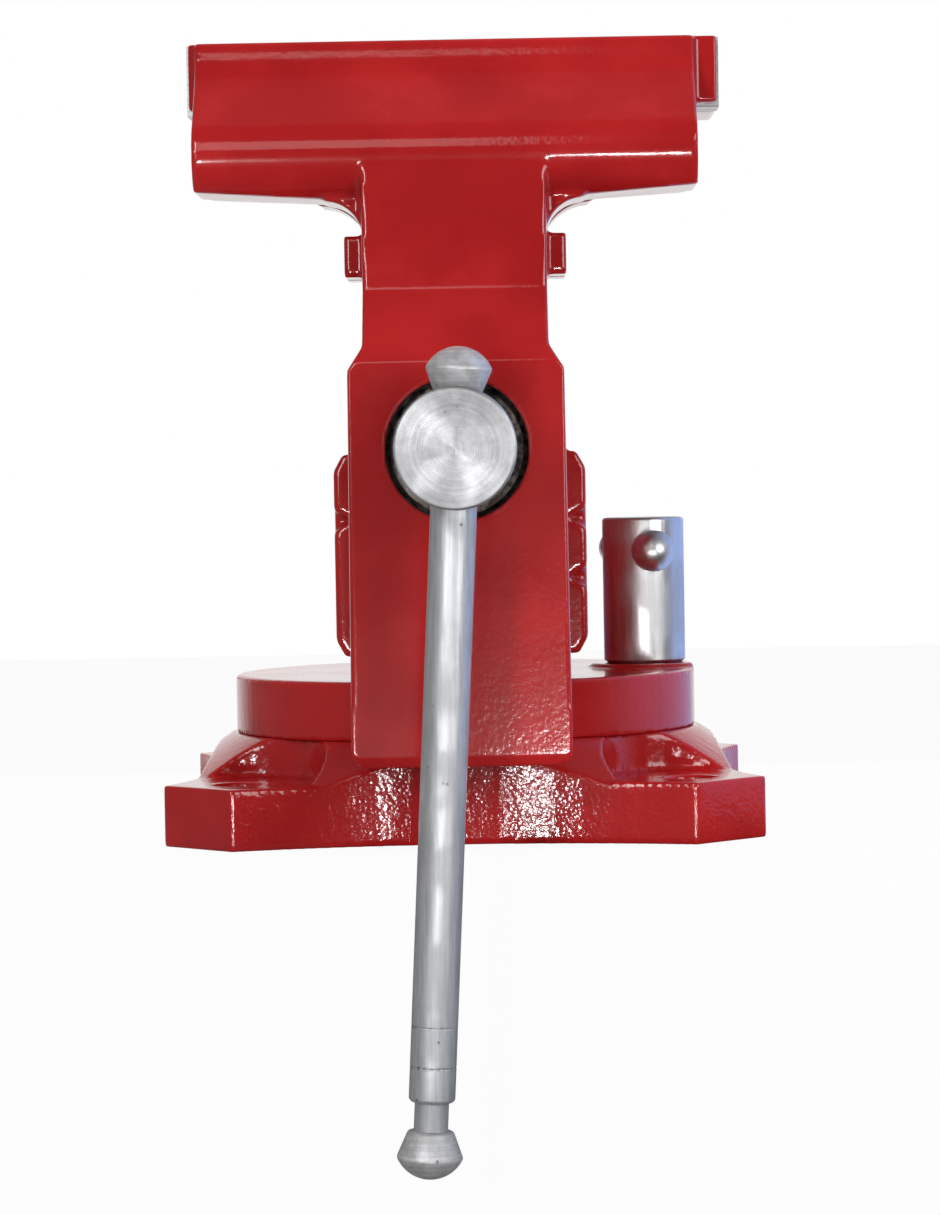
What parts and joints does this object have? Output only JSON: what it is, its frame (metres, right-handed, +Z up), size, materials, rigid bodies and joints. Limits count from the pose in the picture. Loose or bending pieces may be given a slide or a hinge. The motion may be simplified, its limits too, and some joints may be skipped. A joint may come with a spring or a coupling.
{
  "type": "bench vise",
  "caption": "Bench vise with a swivel base, a sliding front jaw driven by a spindle with a loose cross handle, steel jaw plates and a lock bolt for the swivel.",
  "frame": {"origin": "centre of the base's underside, on the swivel axis, at the bench surface", "axes": "+Z up along the swivel axis; -Y towards the front jaw and the spindle's handle; +X towards the side with the lock bolt"},
  "size_m": [0.1298, 0.2063, 0.2361],
  "materials": {
    "casting_red": "glossy red enamel over textured cast iron",
    "jaw_steel": "milled steel with a cross-hatched grip face",
    "zinc_steel": "zinc plated steel",
    "black_steel": "black oxide steel",
    "nut_iron": "machined cast iron",
    "dark_washer": "dark oiled steel",
    "turned_steel": "turned steel with concentric tool marks",
    "handle_steel": "zinc plated steel with scuffs",
    "lock_steel": "satin zinc plated steel"
  },
  "bodies": {
    "base": {"swivel_base": "casting_red", "pivot_washer": "zinc_steel"},
    "vise_body": {"body_casting": "casting_red", "rear_jaw_plate": "jaw_steel", "rear_jaw_screws": "black_steel", "spindle_nut": "nut_iron", "nut_bolt": "zinc_steel", "pivot_bolt": "zinc_steel", "lock_tee_nut": "black_steel"},
    "front_jaw": {"front_jaw_casting": "casting_red", "front_jaw_plate": "jaw_steel", "front_jaw_screws": "black_steel", "thrust_washer": "dark_washer"},
    "spindle": {"spindle_screw": "turned_steel", "spindle_spring": "zinc_steel", "spring_washer": "zinc_steel", "retaining_pin": "zinc_steel"},
    "handle": {"handle_bar": "handle_steel", "handle_knob_upper": "handle_steel", "handle_knob_lower": "handle_steel"},
    "lock_screw": {"lock_bolt": "lock_steel"},
    "cross_bar": {"lock_bar": "lock_steel", "lock_knob_front": "lock_steel", "lock_knob_rear": "lock_steel"}
  },
  "joints": [
    {"name": "swivel_turn", "type": "hinge", "parent": "base", "child": "vise_body", "pos_m": [0, 0, 0.0217], "axis": [0, 0, 1], "continuous": true},
    {"name": "jaw_slide", "type": "slide", "parent": "vise_body", "child": "front_jaw", "axis": [0, -1, 0], "range_m": [0, 0.1]},
    {"name": "spindle_turn", "type": "hinge", "parent": "front_jaw", "child": "spindle", "pos_m": [0, -0.098, 0.0843], "axis": [0, -1, 0], "range_deg": [0, 7200]},
    {"name": "handle_slide", "type": "slide", "parent": "spindle", "child": "handle", "axis": [0.0541, 0, 0.9985], "range_m": [0, 0.127]},
    {"name": "lock_turn", "type": "hinge", "parent": "vise_body", "child": "lock_screw", "pos_m": [0.04104, 0.00359, 0.0356], "axis": [0, 0, 1], "range_deg": [-180, 0]},
    {"name": "lock_bar_slide", "type": "slide", "parent": "lock_screw", "child": "cross_bar", "axis": [0.1564, -0.9877, 0], "range_m": [0, 0.017]}
  ],
  "couplings": [
    {"joint": "spindle_turn", "follows": "jaw_slide", "rad_per_m": 1256.6}
  ]
}
